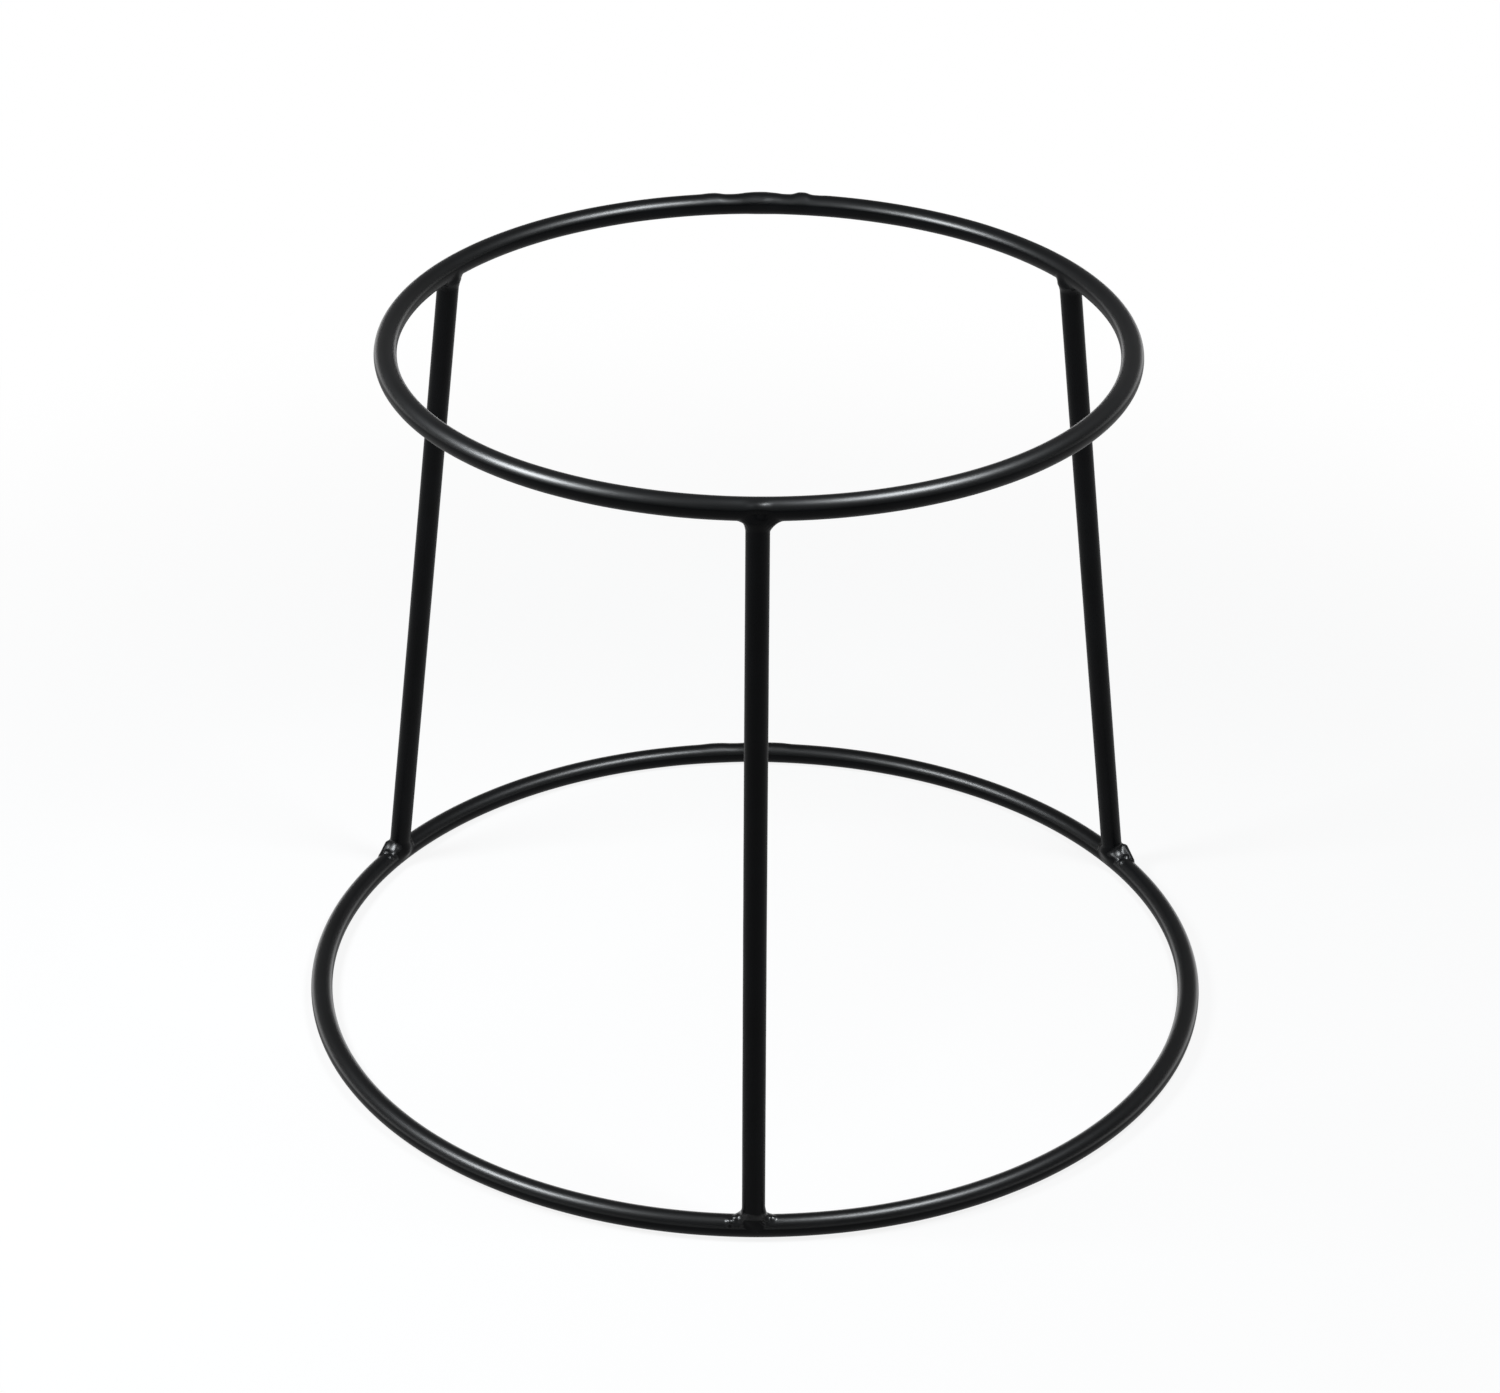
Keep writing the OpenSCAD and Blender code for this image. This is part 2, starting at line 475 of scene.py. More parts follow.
def ring_points(plan, ring, gap, drops, seed):
    """Points and faces of a ring: one bent rod, with drops of weld metal near its joint."""
    ring_r, ring_z = ring
    along = near_joint_stations(TURN * ring_r, gap)
    signed = np.where(along < math.pi * ring_r, along, along - TURN * ring_r)
    azimuth = math.radians(JOINT_AZ) + along / ring_r
    radial = np.stack([np.cos(azimuth), np.sin(azimuth), 0 * azimuth], -1)
    spine = radial * (ring_r + plan.peak_at(ring, signed))[:, None] + np.array([0, 0, ring_z])
    up = np.tile([0.0, 0.0, 1.0], (len(azimuth), 1))
    radius = coated_radius(plan, spine, radial, up, seed, RING_SWELL_WAVE)
    for spot in drops:
        radius += raised_spot(signed[:, None], ROD_TURNS[None, :], spot)
    return rod_skin(spine, radial, up, radius)


def leg_points(plan, azimuth, seed):
    """Points and faces of a leg: a straight rod with a slight bow, sheared at both ends."""
    foot, outward, along, climb = plan.leg_axes(azimuth)
    reach = np.linspace(plan.inset, plan.span - plan.inset, round(plan.span / LEG_STEP))
    part = (reach - reach[0]) / (reach[-1] - reach[0])
    side = np.random.default_rng(seed).uniform(0, TURN)
    stray = plan.bow * np.sin(math.pi * part)
    spine = foot + reach[:, None] * climb
    spine = spine + stray[:, None] * (math.cos(side) * outward + math.sin(side) * along)
    across = np.tile(outward, (len(reach), 1))
    beside = np.tile(along, (len(reach), 1))
    radius = coated_radius(plan, spine, across, beside, seed + LEG_SWELL_SEED, LEG_SWELL_WAVE)
    return rod_skin(spine, across, beside, radius)


# ---------------------------------------------------------------- welds

# Step of the grids that the welds' skins come from
WELD_STEP = 0.2
# How deep a weld reaches into its rods, how far its coat runs out over them, and how far below
# their skin it ends
ROOT_DEPTH = 1.0
SKIRT = 1.5
SUNK = 0.05

# Form of a leg weld's bead: how deep its toe runs below a rod's surface, height of its axis above the
# ring's middle line as a share of the rod's radius, how far its tips close inside the fillets' toes,
# and reach of the round where the fillets cut it
TOE_BITE = 0.15
BEAD_RISE_SHARE = 0.75
TIP_BACK = 0.3
RIDGE_ROUND = 0.8
# Distance to each side of a leg's middle over which one fillet's size passes into the other's
FILLET_TURN = 2.0

# Wavelength and height of a leg weld's unevenness
UNEVEN_WAVE, UNEVEN_H = 5.5, 0.10
# Ripples of a leg weld: where they begin and are full beside the leg, where their lines turn and how
# sharply, and wavelength and distance of their straying
RIPPLE_FROM, RIPPLE_FULL = 1.8, 3.6
RIPPLE_MIDDLE, RIPPLE_BOW = 5.0, 0.16
STRAY_WAVE, STRAY = 9.0, 0.35
# Share of a ripple's height that is taken off, so that ripples rise and fall about the bead
RIPPLE_MEAN = 0.6

# Corners of the grid round a leg weld: outwards, along the ring and away from it
LEG_WELD_LOW = (-7.0, -14.5, -4.6)
LEG_WELD_HIGH = (7.0, 14.5, 11.5)

# For each leg weld: size of the fillet towards the left and the right of someone who looks at the
# stand's middle from outside; lumps, as place (outwards, along the ring, away from it) and radius;
# and a tapered ridge on its outer side, as the places of its two ends and the radius at each
LEG_WELDS = {
    "front_top_weld": {
        "fillets": (0.72, 1.18),
        "lumps": (((-0.6, 4.2, 3.4), 0.9),),
    },
    "rear_right_top_weld": {"fillets": (0.8, 0.45)},
    "rear_left_top_weld": {"fillets": (0.45, 0.8)},
    "front_base_weld": {
        "fillets": (0.76, 0.74),
        "lumps": (((1.1, -6.6, 3.5), 1.35), ((2.4, -9.0, 2.7), 1.35), ((1.0, 7.1, 3.5), 1.3)),
    },
    "rear_right_base_weld": {
        "fillets": (1.32, 0.8),
        "lumps": (((1.5, -9.2, 4.2), 1.3), ((-1.6, -10.2, 3.4), 1.2)),
        "ridge": ((3.8, -4.1, 5.4), (3.0, -10.9, 3.0), 2.0, 1.3),
    },
    "rear_left_base_weld": {
        "fillets": (0.8, 1.28),
        "lumps": (((1.2, 8.9, 4.2), 1.2), ((-1.6, 9.9, 3.4), 1.1)),
        "ridge": ((3.6, 3.8, 4.9), (2.8, 10.2, 2.6), 1.7, 1.1),
    },
}
# Reach of the hollow curves where lumps and ridges meet the bead
LUMP_BLEND, RIDGE_BLEND = 0.6, 1.6
# Share of the ripples' height that is left on a weld with a ridge
RIDGE_RIPPLE = 0.25

# A ring's closing bead: direction round the rod in which it is highest, the share of that height
# that it keeps on the opposite side, the base ring's share of the top ring's height, and the share of
# its half length at which its height has fallen to about a third
BEAD_FACE = math.radians(60)
BEAD_LEAST = 0.3
BASE_CROWN_SHARE = 0.8
BEAD_SHOULDER = 0.62
BEAD_EDGE = 3
# Its unevenness as a share of its height, its ripples' bow, straying and share of height, how far it
# runs out over the rod, and the room that the grid leaves beyond its ends and beside its middle line
BEAD_UNEVEN_WAVE, BEAD_UNEVEN = 6.5, 0.12
BEAD_BOW = 0.05
BEAD_STRAY_WAVE, BEAD_STRAY = 8.0, 0.4
BEAD_RIPPLE_SHARE = 0.6
BEAD_RUN_OUT = 1.0
BEAD_ROOM_BEYOND, BEAD_ROOM_BESIDE = 2.0, 6.2


def ripple_rise(course, pitch):
    """Rise and fall of weld ripples by the distance across their lines."""
    return np.abs(np.sin(math.pi * course / pitch)) - RIPPLE_MEAN


def ridge_depth(p, start, end, start_size, end_size):
    """Depth of a round ridge that runs straight from one place to another."""
    start = np.array(start)
    line = np.array(end) - start
    part = np.clip((p - start) @ line / (line @ line), 0, 1)
    size = start_size + (end_size - start_size) * part
    return np.linalg.norm(p - start - part[:, None] * line, axis=-1) - size


def leg_weld_skin(plan, weld, name, azimuth, at_head, seed):
    """Points and faces of the weld between a leg and a ring: a spindle-shaped bead along the ring
    with a hollow fillet on each side of the leg, ripples, lumps, and the coat's round at its toe."""
    form = LEG_WELDS[name]
    left, right = form["fillets"]
    ridge = form.get("ridge")
    foot, outward, along, climb = plan.leg_axes(azimuth)
    ring = plan.top if at_head else plan.base
    origin = foot + climb * plan.span if at_head else foot
    away = -climb if at_head else climb
    axes = np.stack([outward, along, away])
    rod_r = plan.rod_r
    inner, outer = weld.inner_crown / MM, weld.outer_crown / MM
    pitch, height, fill = weld.ripple_pitch / MM, weld.ripple_height / MM, weld.coat_fill / MM
    belly_r = rod_r + (inner + outer) / 2
    shift = (outer - inner) / 2
    rise = BEAD_RISE_SHARE * rod_r
    uneven = soft_noise(seed, UNEVEN_WAVE)
    drift = soft_noise(seed + 1, STRAY_WAVE)

    def rods(p):
        world = origin + p @ axes
        from_leg = np.maximum(np.hypot(p[:, 0], p[:, 1]) - rod_r, plan.inset - p[:, 2])
        from_ring = plan.ring_place(ring, world)[0] - rod_r
        return np.minimum(from_leg, from_ring)

    def bead(p):
        x, y, z = p.T
        turned_to = ease(y, -FILLET_TURN, FILLET_TURN)
        fillet_r = weld.fillet_r / MM * (left + (right - left) * turned_to)
        centre = rod_r + fillet_r - TOE_BITE
        drop = fillet_r - TOE_BITE
        toe = centre - np.sqrt(fillet_r**2 - drop**2)
        half_l = toe - TIP_BACK
        arc_r = arc_through(half_l, belly_r - (rod_r - rise))
        from_leg = np.hypot(x, y)
        hollow = fillet_r - np.hypot(from_leg - centre, z - centre)
        flare = np.maximum(np.maximum(hollow, from_leg - centre), z - centre)
        from_axis = np.hypot(x - shift, z - rise)
        spindle = np.hypot(from_axis - (belly_r - arc_r), y) - arc_r
        return blend_high(flare, spindle, RIDGE_ROUND)

    def dressed(p):
        x, y, z = p.T
        turned = np.arctan2(x, z) * rod_r
        course = turned + RIPPLE_BOW * (np.abs(y) - RIPPLE_MIDDLE) ** 2 + STRAY * drift(p)
        beside = ease(np.abs(y), RIPPLE_FROM, RIPPLE_FULL) * (RIDGE_RIPPLE if ridge else 1.0)
        depth = bead(p) - height * ripple_rise(course, pitch) * beside - UNEVEN_H * uneven(p)
        if ridge:
            depth = blend_low(depth, ridge_depth(p, *ridge), RIDGE_BLEND)
        for place, size in form.get("lumps", ()):
            lump = np.linalg.norm(p - np.array(place), axis=-1) - size
            depth = blend_low(depth, lump, LUMP_BLEND)
        return depth

    def coated(p):
        return blend_low(dressed(p), rods(p), fill) + SUNK

    def solid(p):
        near = dressed(p) - SKIRT
        return np.maximum(np.maximum(coated(p), near), -(rods(p) + ROOT_DEPTH))

    points, quads = skin_of(solid, np.array(LEG_WELD_LOW), np.array(LEG_WELD_HIGH), WELD_STEP)
    points = settle(points, solid, WELD_STEP)
    if np.linalg.det(axes) < 0:
        quads = quads[:, ::-1]
    return origin + points @ axes, quads


def closing_weld_skin(plan, weld, ring, crown, drops, seed):
    """Points and faces of the bead that closes a ring, with the disc that fills its gap."""
    half_l = weld.closing_l / MM / 2
    gap = weld.closing_gap / MM
    pitch, height = weld.ripple_pitch / MM, weld.ripple_height / MM
    ring_r, ring_z = ring
    origin = np.array([0.0, ring_r, ring_z])
    uneven = soft_noise(seed, BEAD_UNEVEN_WAVE)
    drift = soft_noise(seed + 1, BEAD_STRAY_WAVE)

    def lift_at(p, along, turned):
        rise = np.exp(-np.abs(along / (BEAD_SHOULDER * half_l)) ** BEAD_EDGE)
        rise = rise * (BEAD_LEAST + (1 - BEAD_LEAST) * (0.5 + 0.5 * np.cos(turned - BEAD_FACE)))
        course = plan.rod_r * turned + BEAD_BOW * along**2 + BEAD_STRAY * drift(p)
        ripple = BEAD_RIPPLE_SHARE * height * ripple_rise(course, pitch) * rise
        lift = crown * rise * (1 + BEAD_UNEVEN * uneven(p)) + ripple - SUNK
        for spot in drops:
            lift = lift + raised_spot(along, turned, spot)
        return np.minimum(lift, crown)

    def solid(p):
        world = origin + p
        from_line, along, turned = plan.ring_place(ring, world)
        outside = from_line - (plan.rod_r + lift_at(p, along, turned))
        hollow = plan.rod_r - ROOT_DEPTH - from_line
        filled = np.abs(along) - gap / 2
        core = np.minimum(hollow, filled)
        ends = np.abs(along) - half_l - BEAD_RUN_OUT
        ground = -world[:, 2]
        return np.maximum(np.maximum(outside, core), np.maximum(ends, ground))

    corner = np.array([half_l + BEAD_ROOM_BEYOND, BEAD_ROOM_BESIDE, BEAD_ROOM_BESIDE])
    points, quads = skin_of(solid, -corner, corner, WELD_STEP)
    points = settle(points, solid, WELD_STEP)
    return origin + points, quads


# ---------------------------------------------------------------- finishes

# What the grain of a coat is built with, in metres: the values that its node group starts with
GRAIN_INPUTS = {
    "Peel Size": 0.0016,
    "Peel Depth": 0.000005,
    "Grit Size": 0.0002,
    "Grit Depth": 0.0000004,
    "Tone Size": 0.02,
}
PEEL_DETAIL, GRIT_DETAIL, TONE_DETAIL = 1.5, 2.0, 3.0
# Shares of the slow noise and of the grit in the gloss
SLOW_SHARE, GRIT_SHARE = 0.5, 0.5
# Ranges of the slow noise that carry the tone, and of the way a face looks up that carry the flow
TONE_FROM, TONE_TO = 0.35, 0.68
FLOW_FROM, FLOW_TO = 0.22, 0.50
# Scuffs on the base ring: how high they reach, size, detail, roughness and range of their noise, and
# how much they add to the coat's roughness
SCUFF_H = 0.00035
PATCH_SIZE = 0.0016
PATCH_DETAIL, PATCH_ROUGH = 3.0, 0.65
PATCH_FROM, PATCH_TO = 0.46, 0.62
SCUFF_ROUGHER = 0.3

# How far the roughness varies about its value, over this range of the grain's gloss
GLOSS_FROM, GLOSS_TO = 0.3, 0.7
SMOOTHEST, ROUGHEST = 0.85, 1.2
COAT_IOR = 1.7
# Orange peel on the welds, as a multiple of its depth on the rods
WELD_PEEL = 1.6

# Distances from the stand's middle, in metres, between which the floor's shadow fades out
SHADOW_FULL, SHADOW_GONE = 0.30, 0.75

# Numbers of a mix node's colour sockets, which share their names with its other sockets
MIX_FIRST, MIX_SECOND, MIX_RESULT = 6, 7, 2


def add(tree, kind, inputs=None, **settings):
    """Adds a node with its settings; an input is a value or another node's output."""
    made = tree.nodes.new(kind)
    for name, value in settings.items():
        setattr(made, name, value)
    for name, value in (inputs or {}).items():
        if isinstance(value, bpy.types.NodeSocket):
            tree.links.new(value, made.inputs[name])
        else:
            made.inputs[name].default_value = value
    return made


def reckon(tree, operation, a, b):
    """The result of a sum on two values or other nodes' outputs."""
    return add(tree, "ShaderNodeMath", {0: a, 1: b}, operation=operation).outputs[0]


def carry(tree, value, low, high, to_low=0.0, to_high=1.0, kind="LINEAR"):
    """A value carried from one range over to another, and held at its ends."""
    inputs = {
        "Value": value,
        "From Min": low,
        "From Max": high,
        "To Min": to_low,
        "To Max": to_high,
    }
    return add(tree, "ShaderNodeMapRange", inputs, interpolation_type=kind).outputs["Result"]


def mix_colours(tree, amount, first, second):
    """A colour between two colours, which are values or other nodes' outputs."""
    inputs = {"Factor": amount, MIX_FIRST: first, MIX_SECOND: second}
    return add(tree, "ShaderNodeMix", inputs, data_type="RGBA").outputs[MIX_RESULT]


def coat_grain():
    """Node group of the powder coat: its slow tone, gloss, flow, the height of its skin, and scuffs."""
    name = "powder_coat_grain"
    if name in bpy.data.node_groups:
        return bpy.data.node_groups[name]
    group = bpy.data.node_groups.new(name, "ShaderNodeTree")
    for socket, value in GRAIN_INPUTS.items():
        made = group.interface.new_socket(name=socket, in_out="INPUT", socket_type="NodeSocketFloat")
        made.default_value = value
    for socket in ("Tone", "Gloss", "Flow", "Height", "Scuff"):
        group.interface.new_socket(name=socket, in_out="OUTPUT", socket_type="NodeSocketFloat")
    given = group.nodes.new("NodeGroupInput").outputs
    coordinates = add(group, "ShaderNodeTexCoord").outputs
    place = coordinates["Object"]

    def grain(size, detail, rough=0.5):
        scale = reckon(group, "DIVIDE", 1.0, size)
        inputs = {"Vector": place, "Scale": scale, "Detail": detail, "Roughness": rough}
        return add(group, "ShaderNodeTexNoise", inputs).outputs["Fac"]

    def weighed(a, a_by, b, b_by):
        first = reckon(group, "MULTIPLY", a, a_by)
        return reckon(group, "ADD", first, reckon(group, "MULTIPLY", b, b_by))

    peel = grain(given["Peel Size"], PEEL_DETAIL)
    grit = grain(given["Grit Size"], GRIT_DETAIL)
    slow = grain(given["Tone Size"], TONE_DETAIL)
    # The molten powder flowed out glossier on the faces that look up.
    facing = add(group, "ShaderNodeSeparateXYZ", {"Vector": coordinates["Normal"]}).outputs["Z"]
    # The stand rubs on the floor, so the lowest line of the base ring is scuffed in patches.
    high = add(group, "ShaderNodeSeparateXYZ", {"Vector": place}).outputs["Z"]
    touching = carry(group, high, SCUFF_H, 0.0)
    patch = carry(group, grain(PATCH_SIZE, PATCH_DETAIL, PATCH_ROUGH), PATCH_FROM, PATCH_TO)
    found = {
        "Tone": carry(group, slow, TONE_FROM, TONE_TO),
        "Gloss": weighed(slow, SLOW_SHARE, grit, GRIT_SHARE),
        "Flow": carry(group, facing, FLOW_FROM, FLOW_TO, kind="SMOOTHSTEP"),
        "Height": weighed(peel, given["Peel Depth"], grit, given["Grit Depth"]),
        "Scuff": reckon(group, "MULTIPLY", touching, patch),
    }
    add(group, "NodeGroupOutput", found)
    return group


def coat_material(name, look, roughness, peel_by):
    """Material of the black powder coat: rougher or smoother, and with more or less orange peel."""
    if name in bpy.data.materials:
        return bpy.data.materials[name]
    material = bpy.data.materials.new(name)
    material.use_nodes = True
    tree = material.node_tree
    tree.nodes.clear()
    given = {
        "Peel Size": look.peel_size,
        "Peel Depth": look.peel_depth * peel_by,
        "Grit Size": look.grit_size,
        "Grit Depth": look.grit_depth,
    }
    grain = add(tree, "ShaderNodeGroup", given, node_tree=coat_grain()).outputs
    coat = mix_colours(tree, grain["Tone"], (*look.black, 1), (*look.thin_black, 1))
    worn = mix_colours(tree, grain["Scuff"], coat, (*look.scuffed, 1))
    smooth, rough = roughness * SMOOTHEST, roughness * ROUGHEST
    dull = carry(tree, grain["Gloss"], GLOSS_FROM, GLOSS_TO, smooth, rough)
    dull = reckon(tree, "ADD", dull, reckon(tree, "MULTIPLY", grain["Scuff"], SCUFF_ROUGHER))
    bump = add(tree, "ShaderNodeBump", {"Height": grain["Height"], "Strength": 1.0, "Distance": 1.0})
    shader = add(
        tree,
        "ShaderNodeBsdfPrincipled",
        {
            "Base Color": worn,
            "Roughness": dull,
            "Metallic": 0.0,
            "Normal": bump.outputs["Normal"],
            "Specular IOR Level": look.shine,
            "Coat Weight": reckon(tree, "MULTIPLY", grain["Flow"], look.flow),
            "Coat Roughness": look.flow_roughness,
            "Coat IOR": COAT_IOR,
        },
    )
    add(tree, "ShaderNodeOutputMaterial", {"Surface": shader.outputs["BSDF"]})
    return material


def rod_finish(scene):
    """The coat on the rods."""
    look = scene.stand_coat
    return coat_material("rod_powder_coat", look, look.rod_roughness, 1.0)


def weld_finish(scene):
    """The coat on the welds, which lies a little glossier and more uneven."""
    look = scene.stand_coat
    return coat_material("weld_powder_coat", look, look.weld_roughness, WELD_PEEL)


def floor_finish(look):
    """Pale floor that shows white to the camera and to gloss, and keeps a soft shadow near the stand."""
    material = bpy.data.materials.new("pale_floor")
    material.use_nodes = True
    tree = material.node_tree
    tree.nodes.clear()
    matt = add(tree, "ShaderNodeBsdfDiffuse", {"Color": (*look.floor_colour, 1)})
    plain = add(tree, "ShaderNodeEmission", {"Color": (1, 1, 1, 1), "Strength": 1.0})
    place = add(tree, "ShaderNodeTexCoord").outputs["Object"]
    far = add(tree, "ShaderNodeVectorMath", {0: place}, operation="LENGTH").outputs["Value"]
    shadow = carry(tree, far, SHADOW_FULL, SHADOW_GONE, look.floor_shadow, 0.0, "SMOOTHSTEP")
    ray = add(tree, "ShaderNodeLightPath").outputs
    seen = reckon(tree, "MAXIMUM", ray["Is Camera Ray"], ray["Is Transmission Ray"])
    seen = reckon(tree, "MAXIMUM", seen, ray["Is Glossy Ray"])
    white = reckon(tree, "MULTIPLY", seen, reckon(tree, "SUBTRACT", 1.0, shadow))
    above = add(tree, "ShaderNodeMixShader", {0: white, 1: matt.outputs[0], 2: plain.outputs[0]})
    clear = add(tree, "ShaderNodeBsdfTransparent")
    below = add(tree, "ShaderNodeNewGeometry").outputs["Backfacing"]
    whole = add(tree, "ShaderNodeMixShader", {0: below, 1: above.outputs[0], 2: clear.outputs[0]})
    add(tree, "ShaderNodeOutputMaterial", {"Surface": whole.outputs[0]})
    return material


# ---------------------------------------------------------------- operators for the pieces

# Seeds that the pieces' unevenness is drawn from
TOP_RING_SEED, BASE_RING_SEED = 11, 12
FIRST_LEG_SEED = 21
FIRST_WELD_SEED, WELD_SEED_STEP = 93, 3
TOP_CLOSING_SEED, BASE_CLOSING_SEED = 61, 64


class StandBendRings(bpy.types.Operator):
    """Bend the top ring and the base ring, each from one rod"""

    bl_idname = "plant_stand.bend_rings"
    bl_label = "Bend the Rings"

    def execute(self, context):
        plan = Layout(context.scene)
        gap = context.scene.stand_weld.closing_gap / MM
        finish = rod_finish(context.scene)
        front = [(side * math.pi * plan.top[0], *FRONT_SWELL) for side in (-1, 1)]
        for name, ring, drops, seed in (
            ("top_ring", plan.top, (*TOP_RING_DROPS, *front), TOP_RING_SEED),
            ("base_ring", plan.base, BASE_RING_DROPS, BASE_RING_SEED),
        ):
            points, faces = ring_points(plan, ring, gap, drops, seed)
            piece(name + "_rod", points, faces, finish, "rod_coat", name)
        return {"FINISHED"}


class StandCutLegs(bpy.types.Operator):
    """Cut the three straight legs"""

    bl_idname = "plant_stand.cut_legs"
    bl_label = "Cut the Legs"

    def execute(self, context):
        plan = Layout(context.scene)
        finish = rod_finish(context.scene)
        for seed, (side, azimuth) in enumerate(LEGS.items(), FIRST_LEG_SEED):
            points, faces = leg_points(plan, azimuth, seed)
            piece(side + "_leg_rod", points, faces, finish, "rod_coat", side + "_leg")
        return {"FINISHED"}


class StandWeldLegs(bpy.types.Operator):
    """Weld the head and the foot of each leg to its ring"""

    bl_idname = "plant_stand.weld_legs"
    bl_label = "Weld the Legs"

    def execute(self, context):
        plan = Layout(context.scene)
        weld = context.scene.stand_weld
        finish = weld_finish(context.scene)
        for number, name in enumerate(LEG_WELDS):
            side, end = name.removesuffix("_weld").rsplit("_", 1)
            seed = FIRST_WELD_SEED + WELD_SEED_STEP * number
            points, faces = leg_weld_skin(plan, weld, name, LEGS[side], end == "top", seed)
            piece(name + "_bead", points, faces, finish, "weld_coat", name)
        return {"FINISHED"}


class StandCloseRings(bpy.types.Operator):
    """Weld the two ends of each ring's rod together"""

    bl_idname = "plant_stand.close_rings"
    bl_label = "Close the Rings"

    def execute(self, context):
        plan = Layout(context.scene)
        weld = context.scene.stand_weld
        crown = weld.closing_crown / MM
        base_crown = BASE_CROWN_SHARE * crown
        finish = weld_finish(context.scene)
        for name, ring, rise, drops, seed in (
            ("top_ring_closing_weld", plan.top, crown, TOP_RING_DROPS, TOP_CLOSING_SEED),
            ("base_ring_closing_weld", plan.base, base_crown, BASE_RING_DROPS, BASE_CLOSING_SEED),
        ):
            points, faces = closing_weld_skin(plan, weld, ring, rise, drops, seed)
            piece(name + "_bead", points, faces, finish, "weld_coat", name)
        return {"FINISHED"}


# ---------------------------------------------------------------- stage

# Where the camera stands, in millimetres, how it is turned, in degrees, and its focal length as it
# was fitted to the photograph's outlines, in pixels of an image of the given width
CAMERA_AT = (0.0, -1433.5, 930.0)
CAMERA_PAN, CAMERA_TILT, CAMERA_ROLL = -0.110, 28.983, 0.305
FOCAL_PX, IMAGE_W_PX = 4000.5, 1500
SENSOR_W = 36.0
CLIP_NEAR, CLIP_FAR = 0.01, 100.0

# Where the lamps hang and where they point, in millimetres
LAMPS_AT = {"left_lamp": (-585.0, -190.0, 737.0), "right_lamp": (345.0, -187.0, 904.0)}
LAMPS_AIM = (0.0, 0.0, 150.0)

# The floor's radius in millimetres, its sides, and its rows of points as shares of the radius
FLOOR_R = 9000.0
FLOOR_SIDES = 96
FLOOR_ROWS = (0.08, 0.2, 0.45, 1.0)

# Range of a direction's Y over which the backdrop comes in, and of its Z over which it fades out
BACKDROP_FROM, BACKDROP_FULL = 0.0, 0.7
BACKDROP_FADES, BACKDROP_GONE = 0.3, 0.8


def place_camera(scene):
    """Sets up the camera at the photograph's viewing angle."""
    pan, tilt, roll = (math.radians(v) for v in (CAMERA_PAN, CAMERA_TILT, CAMERA_ROLL))
    forward = np.array(
        [math.sin(pan) * math.cos(tilt), math.cos(pan) * math.cos(tilt), -math.sin(tilt)]
    )
    right = unit(np.cross(forward, (0, 0, 1)))
    up = np.cross(right, forward)
    right, up = (
        math.cos(roll) * right + math.sin(roll) * up,
        -math.sin(roll) * right + math.cos(roll) * up,
    )
    data = bpy.data.cameras.new("camera")
    data.sensor_fit = "HORIZONTAL"
    data.sensor_width = SENSOR_W
    data.lens = FOCAL_PX / IMAGE_W_PX * SENSOR_W
    data.clip_start, data.clip_end = CLIP_NEAR, CLIP_FAR
    camera = bpy.data.objects.new("camera", data)
    turn = np.eye(4)
    turn[:3, 0], turn[:3, 1], turn[:3, 2] = right, up, -forward
    turn[:3, 3] = np.array(CAMERA_AT) * MM
    camera.matrix_world = Matrix(turn.tolist())
    scene.collection.objects.link(camera)
    scene.camera = camera


def hang_lamp(scene, name, at, look):
    """Hangs one round soft lamp, aimed at the stand."""
    data = bpy.data.lights.new(name, "AREA")
    data.shape = "DISK"
    data.size = look.lamp_d
    data.energy = getattr(look, name)
    data.color = look.lamp_colour
    lamp = bpy.data.objects.new(name, data)
    lamp.location = Vector(at) * MM
    aim = (Vector(LAMPS_AIM) - Vector(at)).normalized()
    lamp.rotation_mode = "QUATERNION"
    lamp.rotation_quaternion = aim.to_track_quat("-Z", "Y")
    lamp.visible_camera = False
    scene.collection.objects.link(lamp)


def lay_floor(scene, look):
    """Lays a round pale floor under the stand."""
    angle = np.linspace(0, TURN, FLOOR_SIDES, endpoint=False)
    points = [(0.0, 0.0, 0.0)]
    for part in FLOOR_ROWS:
        reach = part * FLOOR_R
        points += [(reach * math.cos(a), reach * math.sin(a), 0.0) for a in angle]
    side = range(FLOOR_SIDES)
    faces = [(0, 1 + k, 1 + (k + 1) % FLOOR_SIDES) for k in side]
    for row in range(len(FLOOR_ROWS) - 1):
        start = 1 + row * FLOOR_SIDES
        for k in side:
            a, b = start + k, start + (k + 1) % FLOOR_SIDES
            faces.append((a, a + FLOOR_SIDES, b + FLOOR_SIDES, b))
    mesh = bpy.data.meshes.new("floor")
    mesh.from_pydata((np.array(points) * MM).tolist(), [], faces)
    mesh.materials.append(floor_finish(look))
    floor = bpy.data.objects.new("floor", mesh)
    scene.collection.objects.link(floor)


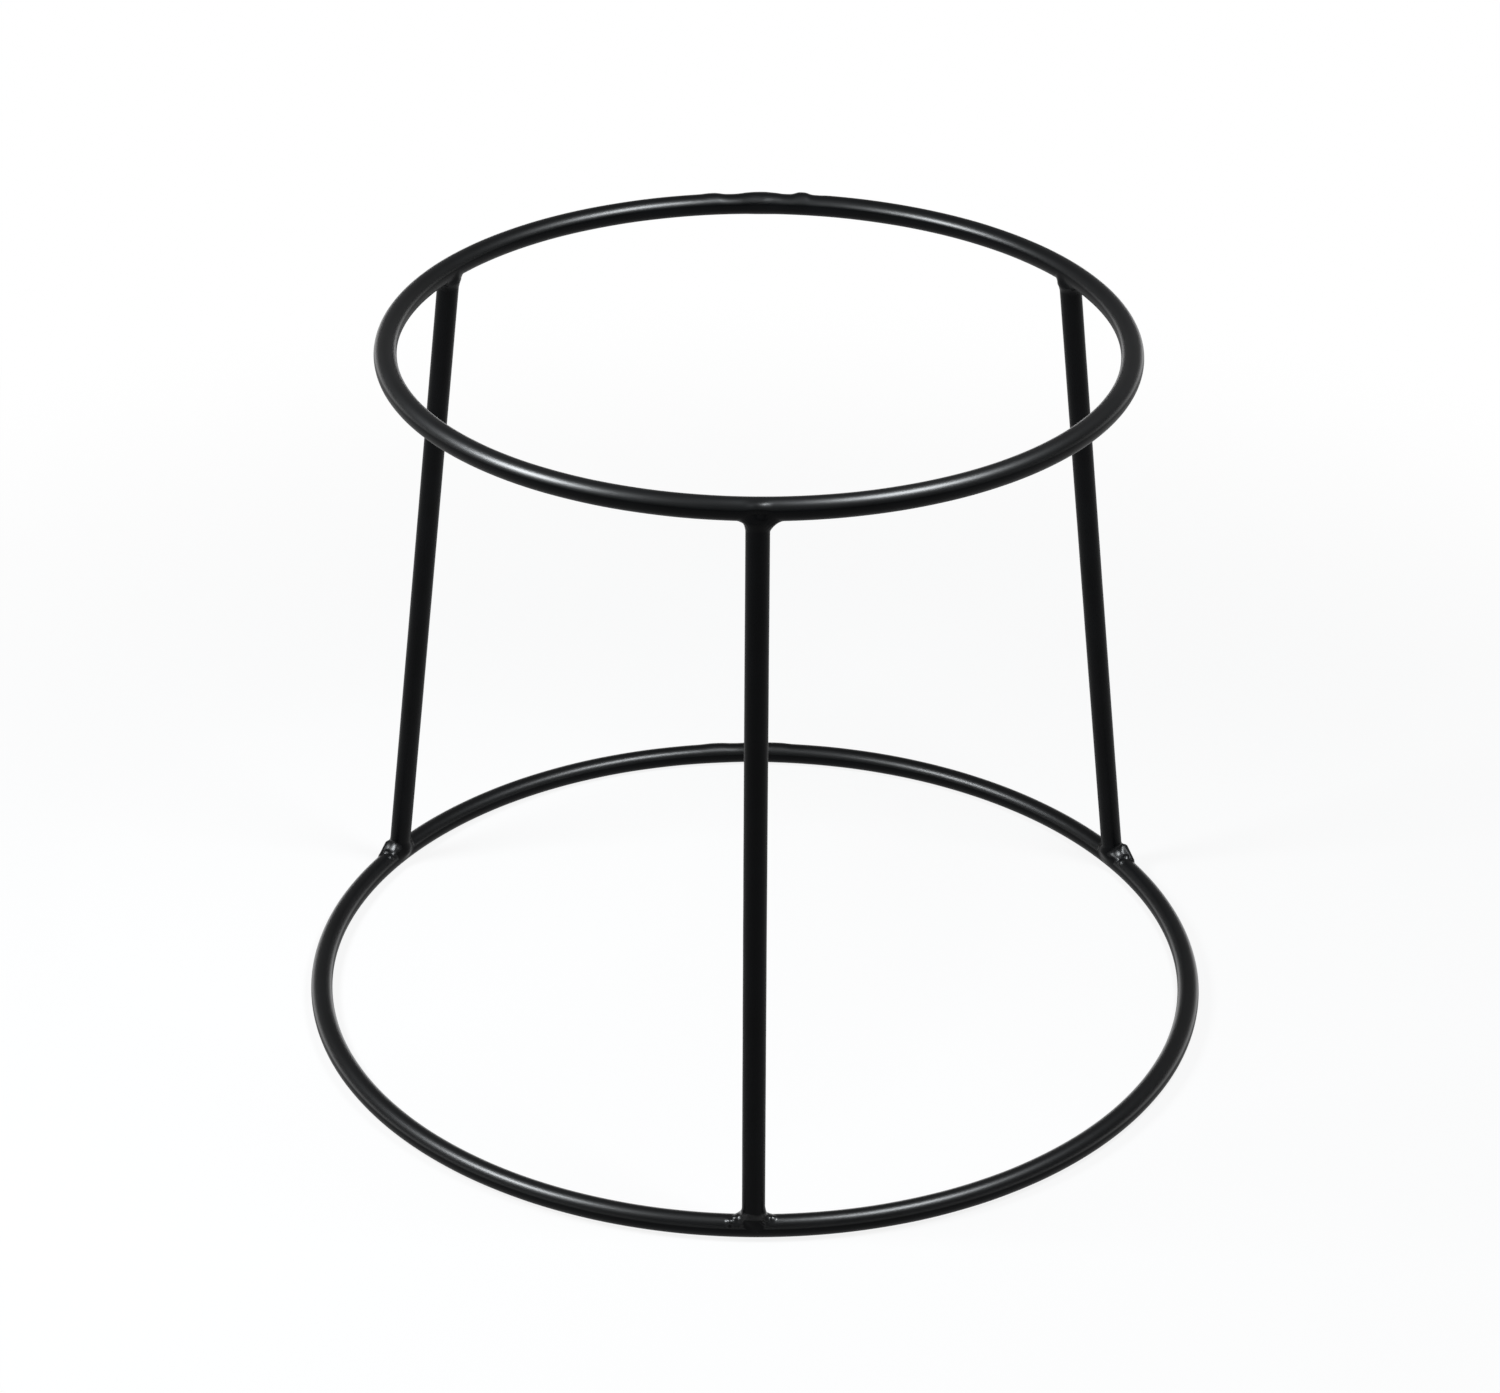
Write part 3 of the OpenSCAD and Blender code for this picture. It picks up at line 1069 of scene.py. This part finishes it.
def light_room(scene, look):
    """A dark room round the floor, with a dim backdrop behind the stand."""
    world = bpy.data.worlds.new("studio")
    world.use_nodes = True
    tree = world.node_tree
    tree.nodes.clear()
    heading = add(tree, "ShaderNodeTexCoord").outputs["Generated"]
    heading = add(tree, "ShaderNodeSeparateXYZ", {"Vector": heading}).outputs
    kind = "SMOOTHSTEP"
    behind = carry(tree, heading["Y"], BACKDROP_FROM, BACKDROP_FULL, kind=kind)
    drop = carry(tree, heading["Z"], BACKDROP_FADES, BACKDROP_GONE, look.backdrop, 0.0, kind)
    level = reckon(tree, "ADD", reckon(tree, "MULTIPLY", behind, drop), look.ceiling)
    glow = add(tree, "ShaderNodeBackground", {"Color": (1, 1, 1, 1), "Strength": level})
    add(tree, "ShaderNodeOutputWorld", {"Surface": glow.outputs[0]})
    scene.world = world


class StandSetStage(bpy.types.Operator):
    """Lay the floor, hang the lamps, light the room and place the camera"""

    bl_idname = "plant_stand.set_stage"
    bl_label = "Set the Stage"

    def execute(self, context):
        scene = context.scene
        look = scene.stand_stage
        lay_floor(scene, look)
        for name, at in LAMPS_AT.items():
            hang_lamp(scene, name, at, look)
        light_room(scene, look)
        place_camera(scene)
        scene.view_settings.view_transform = "Standard"
        return {"FINISHED"}


# ---------------------------------------------------------------- panel and main


class StandPanel(bpy.types.Panel):
    """Sizes, finish and building steps of the plant stand"""

    bl_idname = "VIEW3D_PT_plant_stand"
    bl_label = "Plant Stand"
    bl_space_type = "VIEW_3D"
    bl_region_type = "UI"
    bl_category = "Plant Stand"

    def draw(self, context):
        scene = context.scene
        for title, group in GROUPS.items():
            box = self.layout.box()
            box.label(text=group.__doc__.strip())
            held = getattr(scene, title)
            for name in group.__annotations__:
                box.prop(held, name)
        for step in STEPS:
            self.layout.operator(step.bl_idname)


GROUPS = {
    "stand_rod": StandRodSizes,
    "stand_weld": StandWeldSizes,
    "stand_coat": StandCoatLook,
    "stand_stage": StandStageLook,
}
STEPS = (StandBendRings, StandCutLegs, StandWeldLegs, StandCloseRings, StandSetStage)
CLASSES = (*GROUPS.values(), *STEPS, StandPanel)


def register():
    for part in CLASSES:
        bpy.utils.register_class(part)
    for name, group in GROUPS.items():
        setattr(bpy.types.Scene, name, bpy.props.PointerProperty(type=group))


def unregister():
    for name in GROUPS:
        delattr(bpy.types.Scene, name)
    for part in reversed(CLASSES):
        bpy.utils.unregister_class(part)


def main():
    register()
    bpy.ops.plant_stand.bend_rings()
    bpy.ops.plant_stand.cut_legs()
    bpy.ops.plant_stand.weld_legs()
    bpy.ops.plant_stand.close_rings()
    bpy.ops.plant_stand.set_stage()


if __name__ == "__main__":
    main()
